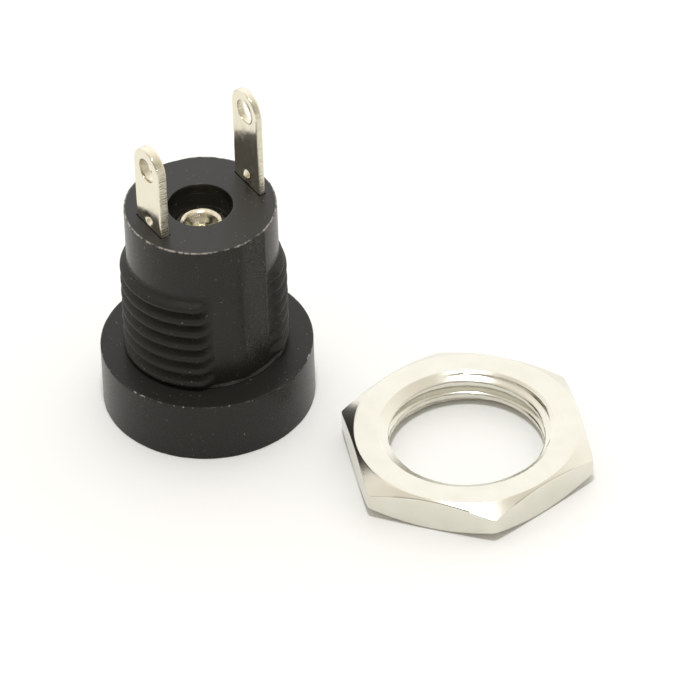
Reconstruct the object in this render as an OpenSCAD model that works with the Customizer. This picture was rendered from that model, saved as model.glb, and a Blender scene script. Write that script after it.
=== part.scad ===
// Panel-mount DC barrel jack with its fixing nut.
// Millimetres. The origin is the centre of the socket's mouth on the front face and
// +Z runs from the front face to the solder lugs, so the jack stands on its flange.

/* [Housing] */
// Diameter of the front flange
flange_d = 14; // [13.4:0.1:15]
// Thickness of the front flange
flange_h = 4.4; // [3.6:0.1:5]
// Height of the housing, from the front face to the rear face
body_h = 15.75; // [15.4:0.05:17]
// Diameter of the plain neck behind the thread
neck_d = 9.96; // [9.9:0.02:10.1]
// Width of the smooth band on each side, where the thread is broken
band_w = 4.1; // [3.6:0.05:4.4]
// Depth of the band's edges and crown below the root of the thread
band_step = 0.02; // [0.02:0.01:0.1]
// Bevel on the rims of the flange
flange_bevel = 0.06; // [0.05:0.01:0.3]

/* [Thread] */
// Outside diameter of the thread
thread_d = 10.88; // [10.8:0.02:11.2]
// Depth of the thread, from crest to root
thread_depth = 0.5; // [0.4:0.02:0.58]
// Pitch of the thread
thread_pitch = 1.05; // [0.95:0.01:1.2]
// Length of the thread behind the flange
thread_len = 7.7; // [6.5:0.1:8.2]
// Direction in which the thread leaves the flange, in degrees
thread_start = -34; // [-180:1:180]
// Turn over which the thread runs out at the neck, in degrees
thread_fade = 60; // [30:5:120]
// Diameter of the collar between the flange and the thread, which centres the panel
seat_collar_d = 10.96; // [10.92:0.02:11.2]
// Height of that collar
seat_collar_h = 0.25; // [0.15:0.01:0.4]
// Radial clearance between the housing's thread and the nut's
thread_gap = 0.15; // [0.1:0.01:0.2]

/* [Socket] */
// Diameter of the bore that takes the plug
socket_d = 6.3; // [6.1:0.05:6.4]
// Depth of the bore, from the front face to its floor
socket_depth = 10.4; // [10:0.1:10.8]
// Bevel around the mouth of the bore
mouth_bevel = 0.3; // [0.1:0.05:0.5]

/* [Rear recess] */
// Diameter of the recess at the rear face
recess_d = 4.25; // [3.8:0.05:4.4]
// Depth of the straight wall at the mouth of the recess
recess_lip = 0.77; // [0.5:0.01:0.9]
// Depth at which the tapered wall ends
recess_taper = 1.7; // [1.4:0.05:1.8]
// Full depth of the recess
recess_depth = 2; // [1.9:0.05:2.5]

/* [Centre pin] */
// Diameter of the pin that enters the plug
pin_d = 2; // [1.9:0.05:2.1]
// Distance from the front face back to the tip of the pin
pin_setback = 1; // [0.5:0.1:2]
// Diameter of the collar that clamps the foot of the pin's terminal
collar_d = 3.6; // [3.2:0.1:3.8]
// Height of the collar
collar_h = 0.8; // [0.5:0.1:1]
// Diameter of the tubular shank that passes through the housing
shank_d = 2.4; // [2.3:0.02:2.5]
// Diameter of the hole in the end of the shank
shank_hole_d = 1.2; // [1:0.05:1.3]
// Depth of that hole below the floor of the recess
shank_hole_depth = 1.1; // [0.8:0.1:2]
// Outside diameter of the rolled rim of the rivet
rivet_d = 3.32; // [3.1:0.02:3.4]
// Thickness of the rolled rim of the rivet
rivet_t = 0.6; // [0.5:0.02:0.7]
// Clearance around the shank and around the rivet
shank_gap = 0.05; // [0.03:0.01:0.1]

/* [Terminals] */
// Width of both solder lugs
lug_w = 3; // [2.8:0.02:3.1]
// Clearance between a lug and the sides and the outer wall of its slot
slot_gap = 0.1; // [0.06:0.01:0.14]
// Clearance between a lug and the inner wall of its slot
slot_gap_in = 0.18; // [0.14:0.01:0.25]
// Diameter of the locking dimple on each lug
dimple_d = 1.15; // [0.9:0.05:1.2]
// Height that the locking dimple stands out
dimple_h = 0.26; // [0.15:0.01:0.3]
// Height of the dimple's centre above the rear face
dimple_z = 0.6; // [0.6:0.05:0.8]

/* [Pin terminal] */
// Thickness of the pin terminal's metal
pin_lug_t = 0.68; // [0.4:0.02:0.72]
// Distance from the axis to the lug's inner face
pin_lug_in = 3.22; // [3.1:0.02:3.3]
// Height of the lug's tip above the rear face
pin_lug_h = 6.2; // [6:0.1:8]
// Height of the eyelet's centre above the rear face
pin_eye_z = 4.62; // [4:0.02:5]
// Diameter of both eyelets
eye_d = 1.66; // [1.2:0.02:1.8]

/* [Sleeve terminal] */
// Thickness of the sleeve terminal's metal
sleeve_lug_t = 0.46; // [0.3:0.02:0.5]
// Distance from the axis to the lug's inner face
sleeve_lug_in = 3.65; // [3.6:0.01:3.7]
// Height of the lug's tip above the rear face
sleeve_lug_h = 7.54; // [7:0.02:9]
// Sideways offset of the terminal from the centre line
sleeve_shift = -0.1; // [-0.15:0.01:0.1]
// Height of the eyelet's centre above the rear face
sleeve_eye_z = 5.95; // [5:0.05:6.2]
// Width of the contact spring inside the socket
spring_w = 3.4; // [3.36:0.02:3.5]
// Distance from the front face back to the spring's free end
spring_setback = 2.4; // [2:0.1:3]
// Reach of the spring's bow into the bore
spring_bow = 1.05; // [0.8:0.05:1.1]

/* [Nut] */
// Width across the flats of the nut
nut_af = 15; // [14.4:0.1:16]
// Thickness of the nut
nut_t = 2.5; // [2:0.1:3]
// Distance from each flat in to the circle where the bevel starts
nut_land = 0.17; // [0.1:0.01:0.3]
// Diameter of the bevel at each end of the nut's hole
nut_mouth_d = 11.64; // [11.4:0.02:12]
// Gap between the flange and the nut lying beside it
nut_apart = 2.75; // [1:0.25:8]
// Direction from the jack to the nut, in degrees
nut_bearing = 34.1; // [0:0.1:90]
// Turn of the nut about its own axis, in degrees
nut_turn = 38.9; // [0:0.1:60]

/* [Hidden] */
$fn = 96;

cut = 1;
turn_steps = 40;
thread_r = thread_d / 2;
root_r = thread_r - thread_depth;
band_r = root_r - band_step;
thread_top = flange_h + thread_len;

recess_floor = body_h - recess_depth;
rivet_r = rivet_t / 2;
recess_low_d = rivet_d + 2 * shank_gap;
funnel_d = rivet_d - 2 * rivet_t;

foot_bottom = socket_depth - pin_lug_t;
foot_d = collar_d;
bend_r = 0.8 * slot_gap_in;
collar_bottom = foot_bottom - collar_h;
pin_lug_out = pin_lug_in + pin_lug_t;
sleeve_lug_out = sleeve_lug_in + sleeve_lug_t;
slot_w = lug_w + 2 * slot_gap;
groove_w = spring_w + 2 * slot_gap;
dimple_r = (pow(dimple_d / 2, 2) + pow(dimple_h, 2)) / (2 * dimple_h);

nut_minor_r = root_r + thread_gap;
nut_major_r = thread_r + thread_gap;
nut_corner_d = nut_af / cos(30);
nut_face_r = nut_af / 2 - nut_land;
nut_mouth_h = (nut_mouth_d / 2 - nut_minor_r) * tan(30);
nut_dist = flange_d / 2 + nut_apart + nut_corner_d / 2;
nut_centre = nut_dist * [cos(nut_bearing), sin(nut_bearing)];

// Section of a thread ridge as [radius, share of the pitch], from one foot over the
// rounded crest to the other foot, between two radii. Each foot is the share foot out
// from the middle.
function ridge_section(foot_r, crest_r, foot) = [
    [foot_r, -foot],
    [crest_r - 0.18 * abs(crest_r - foot_r), -0.2],
    [crest_r, -0.07],
    [crest_r, 0.07],
    [crest_r - 0.18 * abs(crest_r - foot_r), 0.2],
    [foot_r, foot]
];

// Right-handed helical solid that sweeps a section from z_low to z_high, turning from
// angle start. Over the last fade degrees the section sinks back to its foot.
module helix(section, pitch, z_low, z_high, start, fade) {
    sides = len(section);
    steps = ceil((z_high - z_low) / pitch * turn_steps);
    foot = section[0][0];
    points = [
        for (i = [0:steps])
        let (
            a = start + 360 * i / turn_steps,
            left = 360 * (steps - i) / turn_steps,
            rise = fade == 0 ? 1 : max(0.1, min(1, left / fade)),
            z = z_low + pitch * i / turn_steps
        )
        for (p = section)
        let (r = foot + (p[0] - foot) * rise)
        [r * cos(a), r * sin(a), z + p[1] * pitch * (0.4 + 0.6 * rise)]
    ];
    skin = [
        for (i = [0:steps - 1], j = [0:sides - 1])
        let (
            k = (j + 1) % sides,
            a = i * sides + j,
            b = i * sides + k,
            c = a + sides,
            d = b + sides
        )
        each [[a, d, c], [a, b, d]]
    ];
    first = [for (j = [sides - 1:-1:0]) j];
    last = [for (j = [0:sides - 1]) steps * sides + j];
    polyhedron(points, concat([first], skin, [last]));
}

// Block centred on x = 0, spanning the given y and z ranges.
module block(width, y_low, y_high, z_low, z_high) {
    translate([-width / 2, y_low, z_low])
        cube([width, y_high - y_low, z_high - z_low]);
}

// Solder lug standing in the y direction: a strip with a round top.
module lug_blank(y_in, thickness, z_low, tip_h) {
    top = body_h + tip_h - lug_w / 2;
    block(lug_w, y_in, y_in + thickness, z_low, top);
    translate([0, y_in, top])
        rotate([-90, 0, 0]) cylinder(d = lug_w, h = thickness);
}

// Sphere whose cap of dimple_d stands dimple_h out of the plane y = y_face, towards -y.
module dimple(y_face) {
    translate([0, y_face + dimple_r - dimple_h, body_h + dimple_z])
        sphere(r = dimple_r);
}

// Lug with its eyelet and with the dimple pressed through towards the axis.
module lug(y_in, thickness, z_low, tip_h, eye_z) {
    difference() {
        union() {
            lug_blank(y_in, thickness, z_low, tip_h);
            intersection() {
                dimple(y_in);
                block(lug_w, y_in - cut, y_in + thickness / 2, body_h, body_h + tip_h);
            }
        }
        translate([0, y_in - cut, body_h + eye_z])
            rotate([-90, 0, 0]) cylinder(d = eye_d, h = thickness + 2 * cut);
        dimple(y_in + thickness);
    }
}

module flange() {
    plain_r = flange_d / 2 - flange_bevel;
    cylinder(r1 = plain_r, r2 = flange_d / 2, h = flange_bevel);
    translate([0, 0, flange_bevel])
        cylinder(d = flange_d, h = flange_h - 2 * flange_bevel);
    translate([0, 0, flange_h - flange_bevel])
        cylinder(r1 = flange_d / 2, r2 = plain_r, h = flange_bevel);
}

module thread() {
    sink = 0.12;
    helix(
        ridge_section(root_r - sink, thread_r, 0.47),
        thread_pitch,
        flange_h - thread_pitch / 2,
        thread_top - thread_pitch / 2,
        thread_start,
        thread_fade
    );
}

// Barrel behind the flange: seat collar, thread and neck.
module barrel() {
    neck_z = thread_top - thread_pitch / 2;
    cylinder(r = root_r, h = neck_z + cut);
    cylinder(d = seat_collar_d, h = flange_h + seat_collar_h);
    translate([0, 0, neck_z]) cylinder(d = neck_d, h = body_h - neck_z);
    thread();
}

// Smooth band on each side: two shallow faces that meet at a low crown.
module side_bands() {
    half_w = band_w / 2;
    edge_x = sqrt(pow(band_r, 2) - pow(half_w, 2));
    for (side = [0, 180])
        rotate([0, 0, side]) translate([0, 0, flange_h])
            linear_extrude(body_h)
                polygon([
                    [edge_x, -half_w],
                    [band_r, 0],
                    [edge_x, half_w],
                    [thread_d, half_w],
                    [thread_d, -half_w]
                ]);
}

module socket_bore() {
    translate([0, 0, -cut]) cylinder(d = socket_d, h = socket_depth + cut);
    translate([0, 0, -cut])
        cylinder(
            d1 = socket_d + 2 * (mouth_bevel + cut),
            d2 = socket_d,
            h = mouth_bevel + cut
        );
}

module rear_recess() {
    lip_z = body_h - recess_lip;
    taper_z = body_h - recess_taper;
    translate([0, 0, lip_z]) cylinder(d = recess_d, h = recess_lip + cut);
    translate([0, 0, taper_z])
        cylinder(d1 = recess_low_d, d2 = recess_d, h = lip_z - taper_z);
    translate([0, 0, recess_floor])
        cylinder(d = recess_low_d, h = taper_z - recess_floor);
    translate([0, 0, socket_depth - cut])
        cylinder(d = shank_d + 2 * shank_gap, h = recess_floor - socket_depth + 2 * cut);
}

// Slots through the rear wall, and grooves down the side of the bore that let the
// terminals in from the front.
module terminal_slots() {
    slot_low = socket_depth - cut;
    slot_top = body_h + cut;
    sleeve_out = sleeve_lug_out + slot_gap;
    pin_out = -pin_lug_out - slot_gap;
    translate([sleeve_shift, 0, 0]) {
        block(slot_w, sleeve_lug_in - slot_gap_in, sleeve_out, slot_low, slot_top);
        block(groove_w, 0, sleeve_out, -cut, socket_depth);
    }
    block(slot_w, pin_out, -pin_lug_in + slot_gap_in, slot_low, slot_top);
    block(slot_w, pin_out, 0, -cut, socket_depth);
}

module housing() {
    color("#2b292a")
    difference() {
        union() {
            flange();
            barrel();
        }
        side_bands();
        socket_bore();
        rear_recess();
        terminal_slots();
    }
}

module centre_pin() {
    tip_r = pin_d / 2;
    color("#cfc8b4")
    difference() {
        union() {
            translate([0, 0, pin_setback + tip_r]) sphere(r = tip_r);
            translate([0, 0, pin_setback + tip_r])
                cylinder(r = tip_r, h = collar_bottom - pin_setback - tip_r);
            translate([0, 0, collar_bottom]) cylinder(d = collar_d, h = collar_h);
            translate([0, 0, foot_bottom])
                cylinder(d = shank_d, h = recess_floor + rivet_r - foot_bottom);
            translate([0, 0, recess_floor + rivet_r])
                rotate_extrude() translate([rivet_d / 2 - rivet_r, 0]) circle(r = rivet_r);
        }
        translate([0, 0, recess_floor - shank_hole_depth])
            cylinder(d = shank_hole_d, h = shank_hole_depth + rivet_t);
        translate([0, 0, recess_floor])
            cylinder(d1 = shank_hole_d, d2 = funnel_d, h = rivet_r);
        translate([0, 0, recess_floor + rivet_r]) cylinder(d = funnel_d, h = rivet_t);
    }
}

// Quarter bend that joins the foot to the lug, in the plane of y and z.
module bend() {
    turn_r = bend_r + pin_lug_t;
    translate([-lug_w / 2, bend_r - pin_lug_in, socket_depth + bend_r])
        rotate([90, 0, 90])
            linear_extrude(lug_w)
                difference() {
                    intersection() {
                        circle(r = turn_r);
                        translate([-turn_r, -turn_r]) square(turn_r);
                    }
                    circle(r = bend_r);
                }
}

module pin_terminal() {
    color("#d8d2bd")
    difference() {
        union() {
            mirror([0, 1, 0])
                lug(pin_lug_in, pin_lug_t, socket_depth + bend_r, pin_lug_h, pin_eye_z);
            bend();
            block(lug_w, bend_r - pin_lug_in, 0, foot_bottom, socket_depth);
            translate([0, 0, foot_bottom]) cylinder(d = foot_d, h = pin_lug_t);
        }
        translate([0, 0, foot_bottom - cut])
            cylinder(d = shank_d + 2 * shank_gap, h = pin_lug_t + 2 * cut);
    }
}

// Distance that the spring's inner face stands in from the lug's inner face, at share
// t of its length, from 0 at the root to 1 at the free end.
function bow_at(t) = spring_bow * (1 - cos(300 * pow(t, 1.2))) / 2;

module contact_spring() {
    steps = 24;
    length = socket_depth - spring_setback;
    face = [
        for (i = [0:steps])
        [sleeve_lug_in - bow_at(i / steps), socket_depth - length * i / steps]
    ];
    back = [for (i = [steps:-1:0]) face[i] + [sleeve_lug_t, 0]];
    translate([-spring_w / 2, 0, 0])
        rotate([90, 0, 90]) linear_extrude(spring_w) polygon(concat(face, back));
}

module sleeve_terminal() {
    color("#d8d2bd")
    translate([sleeve_shift, 0, 0]) {
        lug(sleeve_lug_in, sleeve_lug_t, socket_depth, sleeve_lug_h, sleeve_eye_z);
        contact_spring();
    }
}

// Outline of half the nut's section, bevelled at 30 degrees from both faces.
module nut_section() {
    reach = nut_face_r + nut_t / 2 / tan(30);
    polygon([[0, 0], [nut_face_r, 0], [reach, nut_t / 2], [nut_face_r, nut_t], [0, nut_t]]);
}

// Bevel at one end of the nut's hole, opening towards +z.
module nut_mouth() {
    translate([0, 0, nut_t - nut_mouth_h])
        cylinder(
            r1 = nut_minor_r,
            r2 = nut_mouth_d / 2 + cut / tan(30),
            h = nut_mouth_h + cut
        );
}

module hex_nut() {
    color("#cfcbb8")
    translate([nut_centre[0], nut_centre[1], 0])
    rotate([0, 0, nut_turn])
    difference() {
        intersection() {
            cylinder(d = nut_corner_d, h = nut_t, $fn = 6);
            rotate_extrude() nut_section();
        }
        translate([0, 0, -cut]) cylinder(r = nut_minor_r, h = nut_t + 2 * cut);
        nut_mouth();
        translate([0, 0, nut_t]) mirror([0, 0, 1]) nut_mouth();
        helix(
            ridge_section(nut_minor_r - 0.1, nut_major_r, 0.4),
            thread_pitch,
            -thread_pitch,
            nut_t + thread_pitch,
            0,
            0
        );
    }
}

housing();
centre_pin();
pin_terminal();
sleeve_terminal();
hex_nut();
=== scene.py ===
"""Looks of the panel-mount DC barrel jack and its nut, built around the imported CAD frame.

Lengths are in millimetres until a mesh is made, and +Z runs from the front face of the
flange, on which the jack stands, to its solder lugs.
"""

import math

import bmesh
import bpy
from mathutils import Matrix, Vector, noise


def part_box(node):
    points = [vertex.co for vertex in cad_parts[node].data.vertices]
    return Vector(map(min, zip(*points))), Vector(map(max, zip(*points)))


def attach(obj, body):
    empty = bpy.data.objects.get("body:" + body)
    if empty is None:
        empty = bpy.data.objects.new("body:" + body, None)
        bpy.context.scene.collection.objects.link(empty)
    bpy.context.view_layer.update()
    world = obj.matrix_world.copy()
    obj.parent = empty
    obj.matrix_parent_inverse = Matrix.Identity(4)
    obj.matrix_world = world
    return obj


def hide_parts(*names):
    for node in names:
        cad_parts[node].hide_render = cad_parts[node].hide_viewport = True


MM = 0.001

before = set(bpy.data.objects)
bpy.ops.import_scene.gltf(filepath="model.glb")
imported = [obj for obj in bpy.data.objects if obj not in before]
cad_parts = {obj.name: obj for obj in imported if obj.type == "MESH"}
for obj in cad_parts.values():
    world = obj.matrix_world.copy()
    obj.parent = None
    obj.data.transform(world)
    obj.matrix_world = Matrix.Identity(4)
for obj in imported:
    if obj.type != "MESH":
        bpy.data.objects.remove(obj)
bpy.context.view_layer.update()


def highest(node):
    """Highest corner of a CAD node's box, in millimetres."""
    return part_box(node)[1] / MM


# Housing
BODY_H = highest("housing").z
FLANGE_R = highest("housing").x
FLANGE_H = 4.4
FLANGE_BEVEL = 0.06
NECK_R = 4.98
BAND_W = 4.1
BAND_R = 4.975
CROWN = 5
BASE_R = 5.08
BASE_H = 0.12
CREST_R = 5.44
ROOT_R = 4.94
PITCH = 1.05
THREAD_START = -34
THREAD_LEN = 7.7
THREAD_TOP = FLANGE_H + THREAD_LEN
SOCKET_R = 3.15
SOCKET_DEPTH = 10.4
MOUTH_BEVEL = 0.3
RECESS_R = 2.125
RECESS_LIP = 0.77
RECESS_TAPER = 1.7
RECESS_DEPTH = 2.0
RECESS_LOW_R = 1.7
SHANK_HOLE_R = 1.25

# Terminals
LUG_W = 3.0
SLOT_GAP = 0.1
SLOT_GAP_IN = 0.18
EYE_R = 0.83
DIMPLE_R = 0.575
DIMPLE_H = 0.26
DIMPLE_Z = 0.6
PIN_LUG_T = 0.68
PIN_LUG_IN = 3.22
PIN_EYE_Z = 4.62
PIN_TIP = highest("pin_terminal").z - BODY_H
SLEEVE_LUG_T = 0.46
SLEEVE_LUG_IN = 3.65
SLEEVE_EYE_Z = 5.95
SLEEVE_TIP = highest("sleeve_terminal").z - BODY_H
SLEEVE_SHIFT = -0.1
SPRING_W = 3.4
SPRING_SETBACK = 2.4
SPRING_BOW = 1.05

# Centre pin
PIN_R = 1.0
PIN_SETBACK = 1.0
COLLAR_PIN_R = 1.8
COLLAR_PIN_H = 0.8
RIVET_R = 1.66
RIVET_T = 0.6
SHANK_GAP = 0.05
HOLLOW_R = 0.6
HOLLOW_DEPTH = 1.1

# Nut
NUT_T = highest("hex_nut").z
NUT_AF = 15.0
NUT_LAND = 0.17
NUT_MOUTH_R = 5.82
NUT_MINOR_R = 5.09
NUT_MAJOR_R = 5.59
NUT_TURN = 38.9
NUT_BEARING = 34.1
NUT_BEVEL = 30
NUT_APART = 2.75
NUT_DIST = FLANGE_R + NUT_APART + NUT_AF / math.cos(math.radians(30)) / 2

# Studio
VIEW_AZIMUTH = 58.6
VIEW_ELEVATION = 40.42
VIEW_DISTANCE = 530.4
VIEW_ROLL = -2.02
VIEW_AIM = (1.897, 9.803, 0)
SENSOR = 36
LENS = SENSOR * 8000 / 700
KEY_ELEVATION = 79.6
KEY_DISTANCE = 700
KEY_SIZE = 80
KEY_POWER = 2.2
WORLD_FRONT = 0.45
WORLD_BACK = 1.35

FINE = 0.02


# ---------------------------------------------------------------- small maths


def mix(a, b, t):
    return a + (b - a) * t


def smooth(low, high, x):
    """0 below low, 1 above high and an even curve between."""
    t = min(1, max(0, (x - low) / (high - low)))
    return t * t * (3 - 2 * t)


def span(start, stop, count):
    """Evenly spaced values from start to stop, both included."""
    return [mix(start, stop, i / count) for i in range(count + 1)]


def wobble(x, y, z, seed=0):
    """Smooth noise between about -1 and 1, the same on every run."""
    return noise.noise(Vector((x + 17.3 * seed, y - 9.1 * seed, z + 4.7 * seed)))


def around(centre, radius, start, stop, count):
    """Points of an arc in the plane of radius and height, for rounded edges."""
    points = []
    for angle in span(start, stop, count):
        a = math.radians(angle)
        points.append((centre[0] + radius * math.cos(a), centre[1] + radius * math.sin(a)))
    return points


# ---------------------------------------------------------------- meshes


def mesh_object(name, points, faces, sharp=32):
    """A piece from points in millimetres, shaded smooth with its sharp edges kept."""
    mesh = bpy.data.meshes.new(name)
    mesh.from_pydata([Vector(p) * MM for p in points], [], faces)
    form = bmesh.new()
    form.from_mesh(mesh)
    bmesh.ops.recalc_face_normals(form, faces=form.faces)
    form.to_mesh(mesh)
    form.free()
    mesh.shade_smooth()
    mesh.set_sharp_from_angle(angle=math.radians(sharp))
    piece = bpy.data.objects.new(name, mesh)
    bpy.context.scene.collection.objects.link(piece)
    return piece


def turned(angles, rings):
    """Closed turned surface: each ring is a function from an angle to (radius, height)."""
    points = []
    for ring in rings:
        for angle in angles:
            r, z = ring(angle)
            a = math.radians(angle)
            points.append((r * math.cos(a), r * math.sin(a), z))
    n, m = len(angles), len(rings)
    faces = []
    for j in range(m):
        for i in range(n):
            k = (i + 1) % n
            l = (j + 1) % m
            faces.append((j * n + i, j * n + k, l * n + k, l * n + i))
    return points, faces


def fixed(r, z):
    """Ring with the same radius and height all round."""
    return lambda angle: (r, z)


def fixed_path(points):
    """Rings that are the same all round, one for each point of a section."""
    return [fixed(r, z) for r, z in points]


def cut_away(piece, cutters):
    """Cuts closed boxes or lofts, given as (points, faces), out of a piece."""
    for points, faces in cutters:
        tool = mesh_object(piece.name + "_cut", points, faces)
        change = piece.modifiers.new("cut", "BOOLEAN")
        change.operation = "DIFFERENCE"
        change.solver = "EXACT"
        change.object = tool
        bpy.context.view_layer.update()
        result = bpy.data.meshes.new_from_object(
            piece.evaluated_get(bpy.context.evaluated_depsgraph_get())
        )
        piece.modifiers.clear()
        piece.data = result
        bpy.data.objects.remove(tool)
    piece.data.shade_smooth()
    piece.data.set_sharp_from_angle(angle=math.radians(32))


def frustum(x_low, x_high, y_low, y_high, z_low, z_high, flare=0):
    """Box whose top is larger than its foot by flare on each side."""
    points = []
    for z, grow in ((z_low, 0), (z_high, flare)):
        points += [
            (x_low - grow, y_low - grow, z),
            (x_high + grow, y_low - grow, z),
            (x_high + grow, y_high + grow, z),
            (x_low - grow, y_high + grow, z),
        ]
    faces = [
        (0, 3, 2, 1),
        (4, 5, 6, 7),
        (0, 1, 5, 4),
        (1, 2, 6, 5),
        (2, 3, 7, 6),
        (3, 0, 4, 7),
    ]
    return points, faces


# ---------------------------------------------------------------- housing

BAND_ANGLE = math.degrees(math.asin(BAND_W / 2 / BAND_R))


def ridge(share):
    """Height of the thread's rounded ridge, 0 to 1, at a distance given as a share of the pitch."""
    return (0.5 + 0.5 * math.cos(2 * math.pi * share)) ** 0.62


def off_band(angle):
    """Angle from the nearer band's middle, in degrees."""
    folded = abs((angle + 180) % 360 - 180)
    return min(folded, 180 - folded)


def band_radius(off, z):
    """Radius of the band: two shallow faces that meet in a soft crown, with a thin seam there."""
    turn, edge, crown = (math.radians(a) for a in (off, BAND_ANGLE, CROWN))
    tilt = edge**2 / 2 / (crown * math.log(math.cosh(edge / crown)))
    swell = turn**2 / 2 - tilt * crown * math.log(math.cosh(turn / crown))
    seam = 0.01 * math.exp(-((off / 0.5) ** 2)) * smooth(THREAD_TOP + 0.1, THREAD_TOP - 0.4, z)
    return BAND_R * math.exp(swell) + seam


def thread_height(angle, z):
    """How far the thread stands out of its root, which fades at the neck."""
    turn = ((angle - THREAD_START) % 360) / 360
    first_z = FLANGE_H - PITCH / 2
    along = (z - first_z) / PITCH - turn
    turns = round(along)
    left = (THREAD_TOP - PITCH / 2 - first_z) / PITCH - turns - turn
    fade = smooth(-0.02, 0.14, left)
    return (CREST_R - ROOT_R) * ridge(along - turns) * fade


def barrel_radius(angle, z):
    """Radius of the barrel's skin: band, thread or neck, with a small ring at its foot."""
    off = off_band(angle)
    r = band_radius(off, z)
    if off > BAND_ANGLE:
        ramp = smooth(BAND_ANGLE, BAND_ANGLE + 12, off)
        r = ROOT_R + thread_height(angle, z) * ramp
        if z > THREAD_TOP - PITCH / 2:
            r = max(r, NECK_R)
    foot = smooth(FLANGE_H + BASE_H + 0.08, FLANGE_H + BASE_H - 0.04, z)
    return mix(r, max(r, BASE_R), foot)


def barrel_ring(z):
    """Ring of the barrel at one height."""
    return lambda angle: (barrel_radius(angle, z), z)


def neck_rim_ring(inset, z, rough):
    """Ring of the rear rim, uneven as moulded flash is."""

    def ring(angle):
        a = math.radians(angle)
        chip = wobble(9 * math.cos(a), 9 * math.sin(a), z, 3)
        chip += 0.6 * wobble(31 * math.cos(a), 31 * math.sin(a), z, 4)
        return barrel_radius(angle, z - 1) - inset + rough * chip, min(BODY_H, z + rough * 0.6 * chip)

    return ring


def flange_rim_ring(inset, z, rough, seed):
    """Ring of a rim of the flange, with small nicks."""

    def ring(angle):
        a = math.radians(angle)
        chip = wobble(11 * math.cos(a), 11 * math.sin(a), z, seed)
        return FLANGE_R - inset + rough * min(0, chip), z

    return ring


def housing_angles():
    """Directions of the housing's grid, with extra ones at the edges and seams of the bands."""
    angles = [i * 1.25 for i in range(288)]
    edges = []
    for side in (0, 180):
        for edge in (-BAND_ANGLE, BAND_ANGLE):
            for step in (-0.2, 0.1, 0.4, 0.7, 1.0):
                edges.append((side + edge + math.copysign(step, edge)) % 360)
        edges += [(side - 0.5) % 360, (side + 0.5) % 360]
    kept = [a for a in angles if all(abs(a - e) > 0.12 for e in edges)]
    return sorted(kept + edges)


def housing_rings():
    """Rings from the socket's mouth, over the outside, into the recess and down the bore."""
    rings = fixed_path([(SOCKET_R + MOUTH_BEVEL, 0), (SOCKET_R + MOUTH_BEVEL + 0.1, 0)])
    rings += fixed_path([(r, 0) for r in span(3.7, FLANGE_R - 0.2, 8)])
    b = FLANGE_BEVEL
    for inset, z in ((b, 0), (0.3 * b, 0.3 * b), (0, b)):
        rings.append(flange_rim_ring(inset, z, 0.02, 1))
    rings += fixed_path([(FLANGE_R, z) for z in span(0.15, FLANGE_H - 0.15, 12)])
    for inset, z in ((0, FLANGE_H - b), (0.3 * b, FLANGE_H - 0.3 * b), (b, FLANGE_H)):
        rings.append(flange_rim_ring(inset, z, 0.02, 2))
    rings += fixed_path([(r, FLANGE_H) for r in span(FLANGE_R - 0.2, CREST_R + 0.1, 5)])
    heights = [FLANGE_H, FLANGE_H + BASE_H / 2]
    heights += span(FLANGE_H + BASE_H - 0.04, THREAD_TOP + 0.1, 114)
    heights += span(THREAD_TOP + 0.2, BODY_H - 0.15, 10)
    rings += [barrel_ring(z) for z in heights]
    for inset, drop in ((0.0, 0.08), (0.01, 0.03), (0.03, 0.0)):
        rings.append(neck_rim_ring(inset, BODY_H - drop, 0.02))
    rings += fixed_path([(r, BODY_H) for r in span(4.75, RECESS_R + 0.12, 8)])
    lip_z, taper_z = BODY_H - RECESS_LIP, BODY_H - RECESS_TAPER
    floor_z = BODY_H - RECESS_DEPTH
    path = around((RECESS_R + 0.05, BODY_H - 0.05), 0.05, 90, 180, 3)
    path += [(RECESS_R, z) for z in span(BODY_H - 0.15, lip_z + 0.05, 5)]
    path += [(RECESS_R - 0.01, lip_z)]
    path += [
        (mix(RECESS_R, RECESS_LOW_R, t), mix(lip_z, taper_z, t)) for t in span(0.06, 1, 8)
    ]
    path += [(RECESS_LOW_R, mix(taper_z, floor_z, 0.5)), (RECESS_LOW_R, floor_z + FINE)]
    path += [(RECESS_LOW_R - FINE, floor_z), (SHANK_HOLE_R + FINE, floor_z)]
    path += [(SHANK_HOLE_R, floor_z - FINE), (SHANK_HOLE_R, SOCKET_DEPTH + FINE)]
    path += [(SHANK_HOLE_R + FINE, SOCKET_DEPTH)]
    path += [(r, SOCKET_DEPTH) for r in span(1.6, SOCKET_R - FINE, 4)]
    path += [(SOCKET_R, z) for z in span(SOCKET_DEPTH - FINE, MOUTH_BEVEL + FINE, 24)]
    path += [(mix(SOCKET_R, SOCKET_R + MOUTH_BEVEL, t), mix(MOUTH_BEVEL, 0, t)) for t in (0.1, 0.9)]
    return rings + fixed_path(path)


def slot_cutters():
    """Slots through the rear wall, snug at the rear face, and grooves along the bore."""
    snug = 0.03
    cutters = []
    for shift, inner, outer, groove_w in (
        (SLEEVE_SHIFT, SLEEVE_LUG_IN, SLEEVE_LUG_IN + SLEEVE_LUG_T, SPRING_W),
        (0, -PIN_LUG_IN, -PIN_LUG_IN - PIN_LUG_T, LUG_W),
    ):
        low, high = min(inner, outer), max(inner, outer)
        half = LUG_W / 2 + snug
        rear = BODY_H + 0.2
        cutters.append(
            frustum(shift - half, shift + half, low - snug, high + snug, SOCKET_DEPTH - 1, rear, 0.01)
        )
        half = groove_w / 2 + SLOT_GAP
        toward, away = (1, high + SLOT_GAP) if inner > 0 else (low - SLOT_GAP, -1)
        cutters.append(frustum(shift - half, shift + half, toward, away, -1, SOCKET_DEPTH))
    return cutters


def make_housing():
    piece = mesh_object("housing_body", *turned(housing_angles(), housing_rings()))
    cut_away(piece, slot_cutters())
    return piece


# ---------------------------------------------------------------- nut


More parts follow.
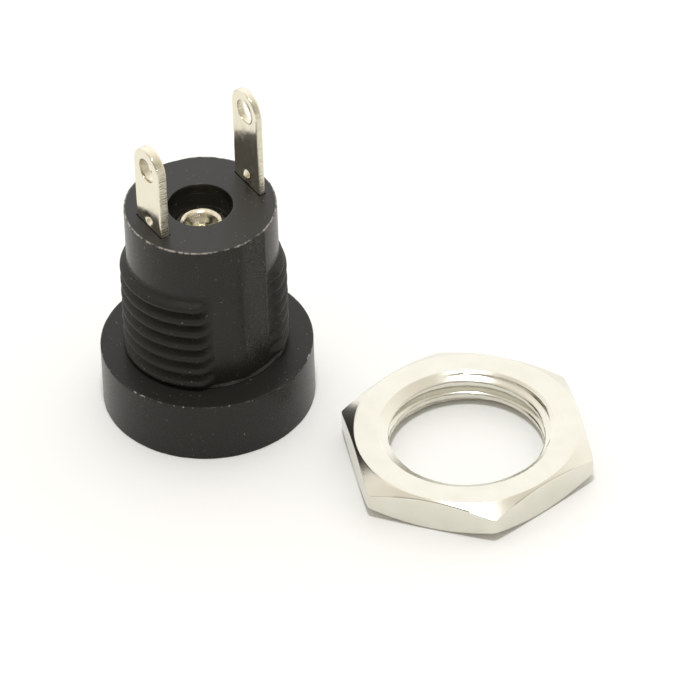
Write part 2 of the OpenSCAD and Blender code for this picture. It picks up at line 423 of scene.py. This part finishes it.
def hex_radius(angle):
    """Radius of the hexagon, with its corners slightly rounded."""
    apothem = NUT_AF / 2
    plain = apothem / math.cos(math.radians(angle % 60 - 30))
    limit = apothem / math.cos(math.radians(30)) * 1.004
    power = 90
    return plain * (1 + (plain / limit) ** power) ** (-1 / power)


def cone_drop(r):
    """How far the bevel lies below the nut's face at a radius."""
    face_r = NUT_AF / 2 - NUT_LAND
    return max(0, r - face_r) * math.tan(math.radians(NUT_BEVEL))


def nut_cone_ring(share, top):
    """Ring on the 30 degree bevel, at a share of the way from the face's rim to the side."""
    face_r = NUT_AF / 2 - NUT_LAND

    def ring(angle):
        r = mix(face_r, hex_radius(angle) - 0.03, share)
        drop = cone_drop(r)
        return r, NUT_T - drop if top else drop

    return ring


def nut_side_ring(share):
    """Ring on the six sides, at a share of the way up."""

    def ring(angle):
        r = hex_radius(angle)
        drop = cone_drop(r) + 0.035
        return r, mix(drop, NUT_T - drop, share)

    return ring


def nut_groove_radius(angle, z):
    """Radius of the nut's thread."""
    along = z / PITCH - (angle % 360) / 360
    share = abs(along - round(along))
    return mix(NUT_MINOR_R, NUT_MAJOR_R, 1 - smooth(0.05, 0.4, share))


def nut_bore_ring(z):
    """Ring of the nut's hole, which opens at both mouths."""

    def ring(angle):
        depth = min(z, NUT_T - z)
        mouth = NUT_MOUTH_R - depth / math.tan(math.radians(NUT_BEVEL))
        return max(nut_groove_radius(angle, z), mouth), z

    return ring


def make_nut():
    face_r = NUT_AF / 2 - NUT_LAND
    rings = fixed_path([(r, 0) for r in span(NUT_MOUTH_R + 0.05, face_r - 0.05, 6)])
    rings += [nut_cone_ring(s, False) for s in span(0, 1, 6)]
    rings += [nut_side_ring(s) for s in span(0, 1, 10)]
    rings += [nut_cone_ring(s, True) for s in span(1, 0, 6)]
    rings += fixed_path([(r, NUT_T) for r in span(face_r - 0.05, NUT_MOUTH_R + 0.05, 6)])
    rings += [nut_bore_ring(z) for z in span(NUT_T, 0, 56)]
    angles = [i * 0.75 for i in range(480)]
    points, faces = turned(angles, rings)
    bearing = math.radians(NUT_BEARING)
    turn = Matrix.Rotation(math.radians(NUT_TURN), 3, "Z")
    centre = Vector((math.cos(bearing), math.sin(bearing), 0)) * NUT_DIST
    return mesh_object("nut_body", [turn @ Vector(p) + centre for p in points], faces)


# ---------------------------------------------------------------- centre pin


def make_centre_pin():
    collar_low = SOCKET_DEPTH - PIN_LUG_T - COLLAR_PIN_H
    foot_low = SOCKET_DEPTH - PIN_LUG_T
    floor_z = BODY_H - RECESS_DEPTH
    tip_z = PIN_SETBACK + PIN_R
    shank = SHANK_HOLE_R - SHANK_GAP
    path = [(max(FINE, r), z) for r, z in around((0, tip_z), PIN_R, -90, 0, 12)]
    path += [(PIN_R, z) for z in span(tip_z + 0.3, collar_low - FINE, 6)]
    path += [(PIN_R + FINE, collar_low), (COLLAR_PIN_R - 0.1, collar_low)]
    path += [(COLLAR_PIN_R, collar_low + 0.1), (COLLAR_PIN_R, foot_low - FINE)]
    path += [(COLLAR_PIN_R - FINE, foot_low), (shank + FINE, foot_low)]
    path += [(shank, foot_low + FINE), (shank, floor_z)]
    half = RIVET_T / 2
    rolled = around((RIVET_R - half, floor_z + half), half, -90, 35, 9)
    rolled += [(RIVET_R - 0.32, floor_z + RIVET_T * 0.98), (RIVET_R - 0.52, floor_z + RIVET_T * 0.9)]
    rolled += [(RIVET_R - 0.64, floor_z + RIVET_T * 0.74), (RIVET_R - 0.7, floor_z + RIVET_T * 0.5)]
    rolled += [(0.72, floor_z + 0.1), (HOLLOW_R, floor_z - 0.05)]
    hole = [(HOLLOW_R, z) for z in span(floor_z - 0.15, floor_z - HOLLOW_DEPTH, 6)]
    hole_z = floor_z - HOLLOW_DEPTH
    hole += [(HOLLOW_R - 0.1, hole_z - 0.05), (FINE, hole_z - 0.2)]

    def rolled_ring(r, z):
        def ring(angle):
            a = math.radians(angle)
            rough = wobble(3 * math.cos(a), 3 * math.sin(a), 2 * r, 6)
            crack = wobble(14 * math.cos(a), 14 * math.sin(a), 0, 7)
            return r + 0.02 * rough, z + 0.02 * rough - 0.03 * smooth(0.3, 0.6, crack)

        return ring

    rings = fixed_path(path) + [rolled_ring(r, z) for r, z in rolled] + fixed_path(hole)
    angles = [i * 1.5 for i in range(240)]
    points, faces = turned(angles, rings)
    n = len(angles)
    faces = faces[: (len(rings) - 1) * n]
    faces.append(tuple(reversed(range(n))))
    faces.append(tuple(range((len(rings) - 1) * n, len(rings) * n)))
    return mesh_object("pin_body", points, faces)


# ---------------------------------------------------------------- terminals


class Strip:
    """Plate of bent strip with a round tip and an eyelet.

    A point of the plate is (across, along), with along measured up from the rear face and
    carried on below it down the strip. The path turns along into a place and a normal.
    """

    def __init__(self, width, tip, eye, low, thickness, path, rim, dent):
        self.width = width
        self.tip = tip
        self.eye = eye
        self.low = low
        self.thickness = thickness
        self.path = path
        self.rim = rim
        self.dent = dent

    def outline(self, angle):
        """Point of the inset outline seen from the eyelet's centre in a direction."""
        half = self.width(self.eye) / 2 - self.rim
        centre = self.tip - self.width(self.tip) / 2 - self.eye
        dx, dy = math.sin(angle), math.cos(angle)
        reach = half / abs(dx) if abs(dx) > 1e-6 else 1e6
        if dy < 0:
            reach = min(reach, (self.eye - self.split()) / -dy)
        if reach * dy > centre or abs(dx) <= 1e-6 and dy > 0:
            reach = centre * dy + math.sqrt(half**2 - (centre * dx) ** 2)
        return reach * dx, self.eye + reach * dy

    def split(self):
        return self.eye - EYE_R - 0.7

    def plate(self):
        """Points and faces of one flat side, with its outer loop and its eyelet's loop."""
        count = 48
        half = self.width(self.eye) / 2 - self.rim
        drop = self.eye - self.split()
        corner = math.atan2(half, -drop)
        angles = [math.pi - math.atan2(x, drop) for x in span(half, -half, count)]
        rest = span(2 * math.pi - corner, 2 * math.pi + corner, 110)[1:-1]
        angles += [a % (2 * math.pi) for a in rest]
        n = len(angles)
        hole = EYE_R + 0.06
        points, faces = [], []
        steps = 14
        for j in range(steps + 1):
            for a in angles:
                x, s = self.outline(a)
                inner = (hole * math.sin(a), self.eye + hole * math.cos(a))
                points.append((mix(inner[0], x, j / steps), mix(inner[1], s, j / steps)))
        for j in range(steps):
            for i in range(n):
                k = (i + 1) % n
                faces.append((j * n + i, j * n + k, (j + 1) * n + k, (j + 1) * n + i))
        eye_loop = list(range(n))
        ring = [steps * n + i for i in range(n)]
        upper = ring[count:] + ring[:1]
        row = ring[: count + 1]
        left, right = [], []
        for s in self.stations():
            start = len(points)
            scale = (self.width(s) / 2 - self.rim) / half
            for x in span(half, -half, count):
                points.append((x * scale, s))
            new = list(range(start, start + count + 1))
            for i in range(count):
                faces.append((row[i], row[i + 1], new[i + 1], new[i]))
            row = new
            right.append(new[0])
            left.append(new[-1])
        outer = upper + right + row[1:-1] + left[::-1]
        return points, faces, outer, eye_loop

    def stations(self):
        dense_low = DIMPLE_Z - DIMPLE_R - 0.3
        dense_top = DIMPLE_Z + DIMPLE_R + 0.2
        values = span(self.split(), dense_top, 12)[1:]
        values += span(dense_top, dense_low, 34)[1:]
        return values + span(dense_low, self.low, 70)[1:]

    def place(self, across, along, depth):
        centre, normal = self.path(along)
        return (
            across,
            centre[0] + normal[0] * depth,
            centre[1] + normal[1] * depth,
        )

    def build(self):
        flat, faces, outer, eye_loop = self.plate()
        n = len(flat)
        t, rim = self.thickness, self.rim
        points = [self.place(x, s, self.dent(x, s)) for x, s in flat]
        points += [self.place(x, s, t + self.dent(x, s)) for x, s in flat]
        sides = [tuple(f) for f in faces] + [tuple(i + n for i in reversed(f)) for f in faces]
        for loop, inward, size in ((outer, 1, rim), (eye_loop, -1, 0.06)):
            rows = [loop]
            for depth, out in self.rim_section(size):
                row = []
                for i, index in enumerate(loop):
                    nx, ns = self.loop_normal(flat, loop, i)
                    x, s = flat[index]
                    row.append(len(points))
                    points.append(self.place(x + nx * out * inward, s + ns * out * inward, depth))
                rows.append(row)
            rows.append([i + n for i in loop])
            for a, b in zip(rows, rows[1:]):
                for i in range(len(loop)):
                    k = (i + 1) % len(loop)
                    sides.append((a[i], b[i], b[k], a[k]) if inward > 0 else (a[k], b[k], b[i], a[i]))
        return points, sides

    def rim_section(self, size):
        """Depth and reach of the rounded rim, from one flat side to the other."""
        section = []
        for angle in (30, 60, 90):
            a = math.radians(angle)
            section.append((size * (1 - math.cos(a)), size * math.sin(a)))
        middle = [(d, size) for d in span(size, self.thickness - size, 3)[1:-1]]
        return section + middle + [(self.thickness - d, out) for d, out in reversed(section)]

    def loop_normal(self, flat, loop, i):
        """Direction out of the plate at a point of its outer loop, or into its metal at the eyelet."""
        a, b = flat[loop[i - 1]], flat[loop[(i + 1) % len(loop)]]
        dx, ds = b[0] - a[0], b[1] - a[1]
        length = math.hypot(dx, ds) or 1
        nx, ns = ds / length, -dx / length
        x, s = flat[loop[i]]
        away = nx * x + ns * (s - self.eye)
        if away < 0:
            nx, ns = -nx, -ns
        return nx, ns


def dent(across, along):
    """How far the locking dimple pushes the plate, towards the jack's axis."""
    d = math.hypot(across, along - DIMPLE_Z)
    return -DIMPLE_H * (1 - smooth(0.12, DIMPLE_R, d))


def sleeve_dent(across, along):
    """The dimple on a plate that stamping has dished a little."""
    dish = 0.07 * smooth(0, 1, along) * (1 - (across / (LUG_W / 2)) ** 2)
    return dent(across, along) + dish


def strip_points(strip, shift, mirror):
    """Points and faces of a strip, shifted sideways and mirrored to the -y side if asked."""
    points, faces = strip.build()
    side = -1 if mirror else 1
    points = [(x + shift, y * side, z) for x, y, z in points]
    if mirror:
        faces = [tuple(reversed(f)) for f in faces]
    return points, faces


def pin_strip_path(along):
    """Straight down to the bend, round it and in along the socket's floor."""
    bend = 0.8 * SLOT_GAP_IN
    bend_z = SOCKET_DEPTH + bend - BODY_H
    if along >= bend_z:
        return (PIN_LUG_IN, BODY_H + along), (1, 0)
    turn = (bend_z - along) / bend
    if turn <= math.pi / 2:
        a = turn
        y = PIN_LUG_IN - bend + bend * math.cos(a)
        z = SOCKET_DEPTH + bend - bend * math.sin(a)
        return (y, z), (math.cos(a), -math.sin(a))
    y = PIN_LUG_IN - bend - (bend_z - along - bend * math.pi / 2)
    return (y, SOCKET_DEPTH), (0, -1)


def spring_bow(z):
    """How far the contact spring stands in towards the axis at a height."""
    t = min(1, max(0, (SOCKET_DEPTH - z) / (SOCKET_DEPTH - SPRING_SETBACK)))
    return SPRING_BOW * (1 - math.cos(math.radians(300 * t**1.2))) / 2


def sleeve_strip_path(along):
    """Straight down the lug, then along the bow of the contact spring."""
    z = BODY_H + along
    y = SLEEVE_LUG_IN - spring_bow(z)
    slope = (spring_bow(z + 0.02) - spring_bow(z - 0.02)) / 0.04
    length = math.hypot(1, slope)
    return (y, z), (1 / length, slope / length)


def sleeve_width(along):
    """Width of the lug above the socket's floor and of the spring below it."""
    return mix(SPRING_W, LUG_W, smooth(-5.5, -5.2, along))


def ring_solid(inner, outer, z_low, z_high):
    """Flat ring with softened edges."""
    e = 0.04
    path = [(inner, z_high - e), (inner, z_low + e), (inner + e, z_low), (outer - e, z_low)]
    path += [(outer, z_low + e), (outer, z_high - e), (outer - e, z_high), (inner + e, z_high)]
    return turned([i * 3 for i in range(120)], fixed_path(path))


def make_pin_terminal():
    low = -(BODY_H - SOCKET_DEPTH) - PIN_LUG_IN + SHANK_HOLE_R + 0.35
    strip = Strip(
        width=lambda along: LUG_W,
        tip=PIN_TIP,
        eye=PIN_EYE_Z,
        low=low,
        thickness=PIN_LUG_T,
        path=pin_strip_path,
        rim=0.12,
        dent=dent,
    )
    points, faces = strip_points(strip, 0, True)
    foot, foot_faces = ring_solid(SHANK_HOLE_R, COLLAR_PIN_R, SOCKET_DEPTH - PIN_LUG_T, SOCKET_DEPTH)
    faces += [tuple(i + len(points) for i in f) for f in foot_faces]
    return mesh_object("pin_terminal_strip", points + foot, faces)


def make_sleeve_terminal():
    strip = Strip(
        width=sleeve_width,
        tip=SLEEVE_TIP,
        eye=SLEEVE_EYE_Z,
        low=SPRING_SETBACK - BODY_H + 0.12,
        thickness=SLEEVE_LUG_T,
        path=sleeve_strip_path,
        rim=0.1,
        dent=sleeve_dent,
    )
    points, faces = strip_points(strip, SLEEVE_SHIFT, False)
    return mesh_object("sleeve_terminal_strip", points, faces)


# ---------------------------------------------------------------- materials


# Places of the colour sockets on a mix node, whose names repeat for each data type
COLOUR_A = 6
COLOUR_B = 7
COLOUR_OUT = 2


class Paint:
    """Short hand for building a node material, with positions in millimetres."""

    def __init__(self, name):
        self.material = bpy.data.materials.new(name)
        self.material.use_nodes = True
        self.tree = self.material.node_tree
        self.shader = self.tree.nodes["Principled BSDF"]
        place = self.node("ShaderNodeTexCoord").outputs["Object"]
        scaled = self.node("ShaderNodeVectorMath", operation="SCALE")
        scaled.inputs["Scale"].default_value = 1 / MM
        self.link(place, scaled.inputs[0])
        self.mm = scaled.outputs[0]

    def node(self, kind, **settings):
        made = self.tree.nodes.new(kind)
        for key, value in settings.items():
            setattr(made, key, value)
        return made

    def link(self, output, socket):
        self.tree.links.new(output, socket)

    def put(self, socket, value):
        if isinstance(value, bpy.types.NodeSocket):
            self.link(value, socket)
        else:
            socket.default_value = value

    def stretch(self, x, y, z):
        """Position in millimetres, scaled on each axis."""
        made = self.node("ShaderNodeVectorMath", operation="MULTIPLY")
        self.link(self.mm, made.inputs[0])
        made.inputs[1].default_value = (x, y, z)
        return made.outputs[0]

    def noise(self, scale, detail=3, vector=None, rough=0.5):
        made = self.node("ShaderNodeTexNoise")
        self.link(vector or self.mm, made.inputs["Vector"])
        made.inputs["Scale"].default_value = scale
        made.inputs["Detail"].default_value = detail
        made.inputs["Roughness"].default_value = rough
        return made.outputs["Fac"]

    def math(self, operation, a, b=0.0, clamp=False):
        made = self.node("ShaderNodeMath", operation=operation, use_clamp=clamp)
        self.put(made.inputs[0], a)
        self.put(made.inputs[1], b)
        return made.outputs[0]

    def ramp(self, value, low, high, to_low=0.0, to_high=1.0):
        made = self.node("ShaderNodeMapRange", interpolation_type="SMOOTHSTEP")
        self.put(made.inputs["Value"], value)
        made.inputs["From Min"].default_value = low
        made.inputs["From Max"].default_value = high
        self.put(made.inputs["To Min"], to_low)
        self.put(made.inputs["To Max"], to_high)
        return made.outputs["Result"]

    def axes(self, vector=None):
        made = self.node("ShaderNodeSeparateXYZ")
        self.link(vector or self.mm, made.inputs[0])
        return made.outputs

    def normal(self):
        return self.axes(self.node("ShaderNodeNewGeometry").outputs["Normal"])

    def blend(self, share, a, b):
        made = self.node("ShaderNodeMix", data_type="RGBA")
        self.put(made.inputs["Factor"], share)
        self.put(made.inputs[COLOUR_A], a)
        self.put(made.inputs[COLOUR_B], b)
        return made.outputs[COLOUR_OUT]

    def bump(self, height, strength, distance, under=None):
        made = self.node("ShaderNodeBump")
        made.inputs["Strength"].default_value = strength
        made.inputs["Distance"].default_value = distance * MM
        self.link(height, made.inputs["Height"])
        if under is not None:
            self.link(under, made.inputs["Normal"])
        return made.outputs["Normal"]

    def finish(self, **values):
        for key, value in values.items():
            self.put(self.shader.inputs[key.replace("_", " ")], value)
        return self.material


def plastic():
    p = Paint("black_plastic")
    x, y, z = p.axes()
    across = p.math("SQRT", p.math("ADD", p.math("MULTIPLY", x, x), p.math("MULTIPLY", y, y)))
    grain = p.noise(9, 4)
    cloud = p.noise(0.45, 3)
    tone = p.blend(cloud, (0.012, 0.0122, 0.0105, 1), (0.019, 0.0175, 0.0155, 1))
    speck = p.ramp(p.noise(6.5, 1), 0.755, 0.775)
    tone = p.blend(p.math("MULTIPLY", speck, 0.6), tone, (0.3, 0.27, 0.25, 1))

    # Pale flash and small nicks along the rear rim and the flange's rims
    near_rear_z = p.ramp(z, BODY_H - 0.1, BODY_H - 0.02)
    near_rear_r = p.ramp(across, NECK_R - 0.14, NECK_R - 0.05)
    near_rear = p.math("MULTIPLY", near_rear_z, near_rear_r)
    near_top = p.ramp(p.math("ABSOLUTE", p.math("SUBTRACT", z, FLANGE_H)), 0.1, 0.03)
    near_flange = p.math("MULTIPLY", near_top, p.ramp(across, FLANGE_R - 0.1, FLANGE_R - 0.04))
    flecks = p.ramp(p.noise(2.6, 4, rough=0.7), 0.4, 0.56)
    few = p.ramp(p.noise(2.2, 4, rough=0.7), 0.56, 0.66)
    worn_rear = p.math("MULTIPLY", near_rear, flecks)
    worn_flange = p.math("MULTIPLY", near_flange, few)
    worn = p.math("ADD", worn_rear, worn_flange, True)
    tone = p.blend(p.math("MULTIPLY", worn, 0.8), tone, (0.42, 0.38, 0.34, 1))

    above_flange = p.ramp(z, FLANGE_H, FLANGE_H + 0.3)
    below_neck = p.ramp(z, THREAD_TOP + 0.1, THREAD_TOP - 0.1)
    in_thread = p.math("MULTIPLY", above_flange, below_neck)
    off_band_y = p.ramp(p.math("ABSOLUTE", y), BAND_W / 2 - 0.05, BAND_W / 2 + 0.25)
    on_thread = p.math("MULTIPLY", in_thread, off_band_y)
    in_recess = p.math("MULTIPLY", p.ramp(across, RECESS_R + 0.05, RECESS_R), p.ramp(z, 13, 13.2))
    rough = p.ramp(on_thread, 0, 1, p.ramp(grain, 0.3, 0.7, 0.26, 0.34), 0.5)
    rough = p.ramp(p.normal()[2], 0.8, 0.95, rough, 0.4)
    rough = p.ramp(in_recess, 0, 1, rough, 0.17)
    gloss = p.ramp(z, BODY_H - 0.1, BODY_H - 0.02, 0.24, 0.44)
    normal = p.bump(grain, 0.15, 0.012)
    normal = p.bump(p.math("MULTIPLY", p.noise(5, 5, rough=0.7), on_thread), 0.6, 0.05, normal)
    return p.finish(Base_Color=tone, Roughness=rough, Normal=normal, Specular_IOR_Level=gloss)


def plated(name, light, dark, roughness):
    p = Paint(name)
    cloud = p.noise(0.8, 3)
    tone = p.blend(cloud, light, dark)
    rough = p.ramp(p.noise(2.2, 3), 0.3, 0.7, roughness * 0.7, roughness * 1.3)
    shear = p.noise(1.0, 3, p.stretch(0.4, 0.4, 16))
    side = p.ramp(p.math("ABSOLUTE", p.normal()[0]), 0.6, 0.9)
    height = p.math("MULTIPLY", shear, side)
    normal = p.bump(height, 0.8, 0.08)
    return p.finish(Base_Color=tone, Metallic=1.0, Roughness=rough, Normal=normal)


def nut_metal():
    p = Paint("plated_nut")
    cloud = p.noise(0.7, 4)
    tone = p.blend(cloud, (0.775, 0.765, 0.70, 1), (0.70, 0.68, 0.595, 1))
    fine = p.noise(12, 4)
    rough = p.ramp(p.normal()[2], 0.9, 0.98, 0.2, p.ramp(cloud, 0.3, 0.7, 0.26, 0.36))
    normal = p.bump(fine, 0.25, 0.02)
    return p.finish(Base_Color=tone, Metallic=1.0, Roughness=rough, Normal=normal)


def floor_paint():
    p = Paint("paper")
    return p.finish(Base_Color=(0.86, 0.86, 0.85, 1), Roughness=0.9)


# ---------------------------------------------------------------- stage, light and camera


def direction(azimuth, elevation):
    """Unit vector in which a camera looks, for an azimuth and elevation in degrees."""
    a, e = math.radians(azimuth), math.radians(elevation)
    return Vector((-math.sin(a) * math.cos(e), math.cos(a) * math.cos(e), -math.sin(e)))


def make_camera():
    aim = Vector(VIEW_AIM) * MM
    distance = VIEW_DISTANCE * MM
    forward = direction(VIEW_AZIMUTH, VIEW_ELEVATION)
    level = forward.to_track_quat("-Z", "Y").to_matrix()
    roll = Matrix.Rotation(math.radians(VIEW_ROLL), 3, "Z")
    camera = bpy.data.objects.new("camera", bpy.data.cameras.new("camera"))
    camera.data.sensor_width = SENSOR
    camera.data.lens = LENS
    camera.data.clip_end = 10
    camera.matrix_world = Matrix.Translation(aim - forward * distance) @ (level @ roll).to_4x4()
    bpy.context.scene.collection.objects.link(camera)
    bpy.context.scene.camera = camera


def make_floor():
    half = 600
    corners = [(-half, -half, 0), (half, -half, 0), (half, half, 0), (-half, half, 0)]
    floor = mesh_object("floor", corners, [(0, 1, 2, 3)])
    floor.data.materials.append(floor_paint())


def make_key_light():
    """Small, slightly cool soft box high above, on the camera's side of the object."""
    light = bpy.data.objects.new("key", bpy.data.lights.new("key", "AREA"))
    light.data.shape = "RECTANGLE"
    light.data.size = KEY_SIZE * MM
    light.data.size_y = KEY_SIZE * MM
    light.data.energy = KEY_POWER
    light.data.color = (0.93, 0.97, 1.0)
    aim = Vector((4, 5, 5))
    towards = direction(VIEW_AZIMUTH, KEY_ELEVATION)
    light.location = (aim - towards * KEY_DISTANCE) * MM
    light.rotation_euler = towards.to_track_quat("-Z", "Y").to_euler()
    bpy.context.scene.collection.objects.link(light)


def make_world():
    """White studio, brighter behind the object than on the camera's side."""
    world = bpy.data.worlds.new("studio")
    world.use_nodes = True
    tree = world.node_tree
    background = tree.nodes["Background"]
    place = tree.nodes.new("ShaderNodeTexCoord")
    facing = tree.nodes.new("ShaderNodeVectorMath")
    facing.operation = "DOT_PRODUCT"
    facing.inputs[1].default_value = direction(VIEW_AZIMUTH, 0)
    tree.links.new(place.outputs["Generated"], facing.inputs[0])
    shade = tree.nodes.new("ShaderNodeMapRange")
    shade.interpolation_type = "SMOOTHSTEP"
    shade.inputs["From Min"].default_value = -0.9
    shade.inputs["From Max"].default_value = 0.9
    shade.inputs["To Min"].default_value = WORLD_FRONT
    shade.inputs["To Max"].default_value = WORLD_BACK
    tree.links.new(facing.outputs["Value"], shade.inputs["Value"])
    tree.links.new(shade.outputs["Result"], background.inputs["Strength"])
    tint = tree.nodes.new("ShaderNodeMix")
    tint.data_type = "RGBA"
    tint.inputs[COLOUR_A].default_value = (1.0, 0.93, 0.82, 1)
    tint.inputs[COLOUR_B].default_value = (0.98, 0.99, 1.0, 1)
    tree.links.new(facing.outputs["Value"], tint.inputs["Factor"])
    tree.links.new(tint.outputs[COLOUR_OUT], background.inputs["Color"])
    bpy.context.scene.world = world


def dress(piece, node, material):
    """Gives a piece its material and puts it in the place of its CAD node."""
    piece.data.materials.clear()
    piece.data.materials.append(material)
    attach(piece, "root")
    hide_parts(node)


make_camera()
make_floor()
make_world()
make_key_light()

terminal_metal = plated("plated_terminal", (0.79, 0.755, 0.635, 1), (0.73, 0.685, 0.55, 1), 0.17)
dress(make_housing(), "housing", plastic())
dress(
    make_centre_pin(),
    "centre_pin",
    plated("plated_pin", (0.80, 0.76, 0.62, 1), (0.70, 0.64, 0.50, 1), 0.25),
)
dress(make_pin_terminal(), "pin_terminal", terminal_metal)
dress(make_sleeve_terminal(), "sleeve_terminal", terminal_metal)
dress(make_nut(), "hex_nut", nut_metal())

bpy.context.scene.view_settings.view_transform = "Standard"
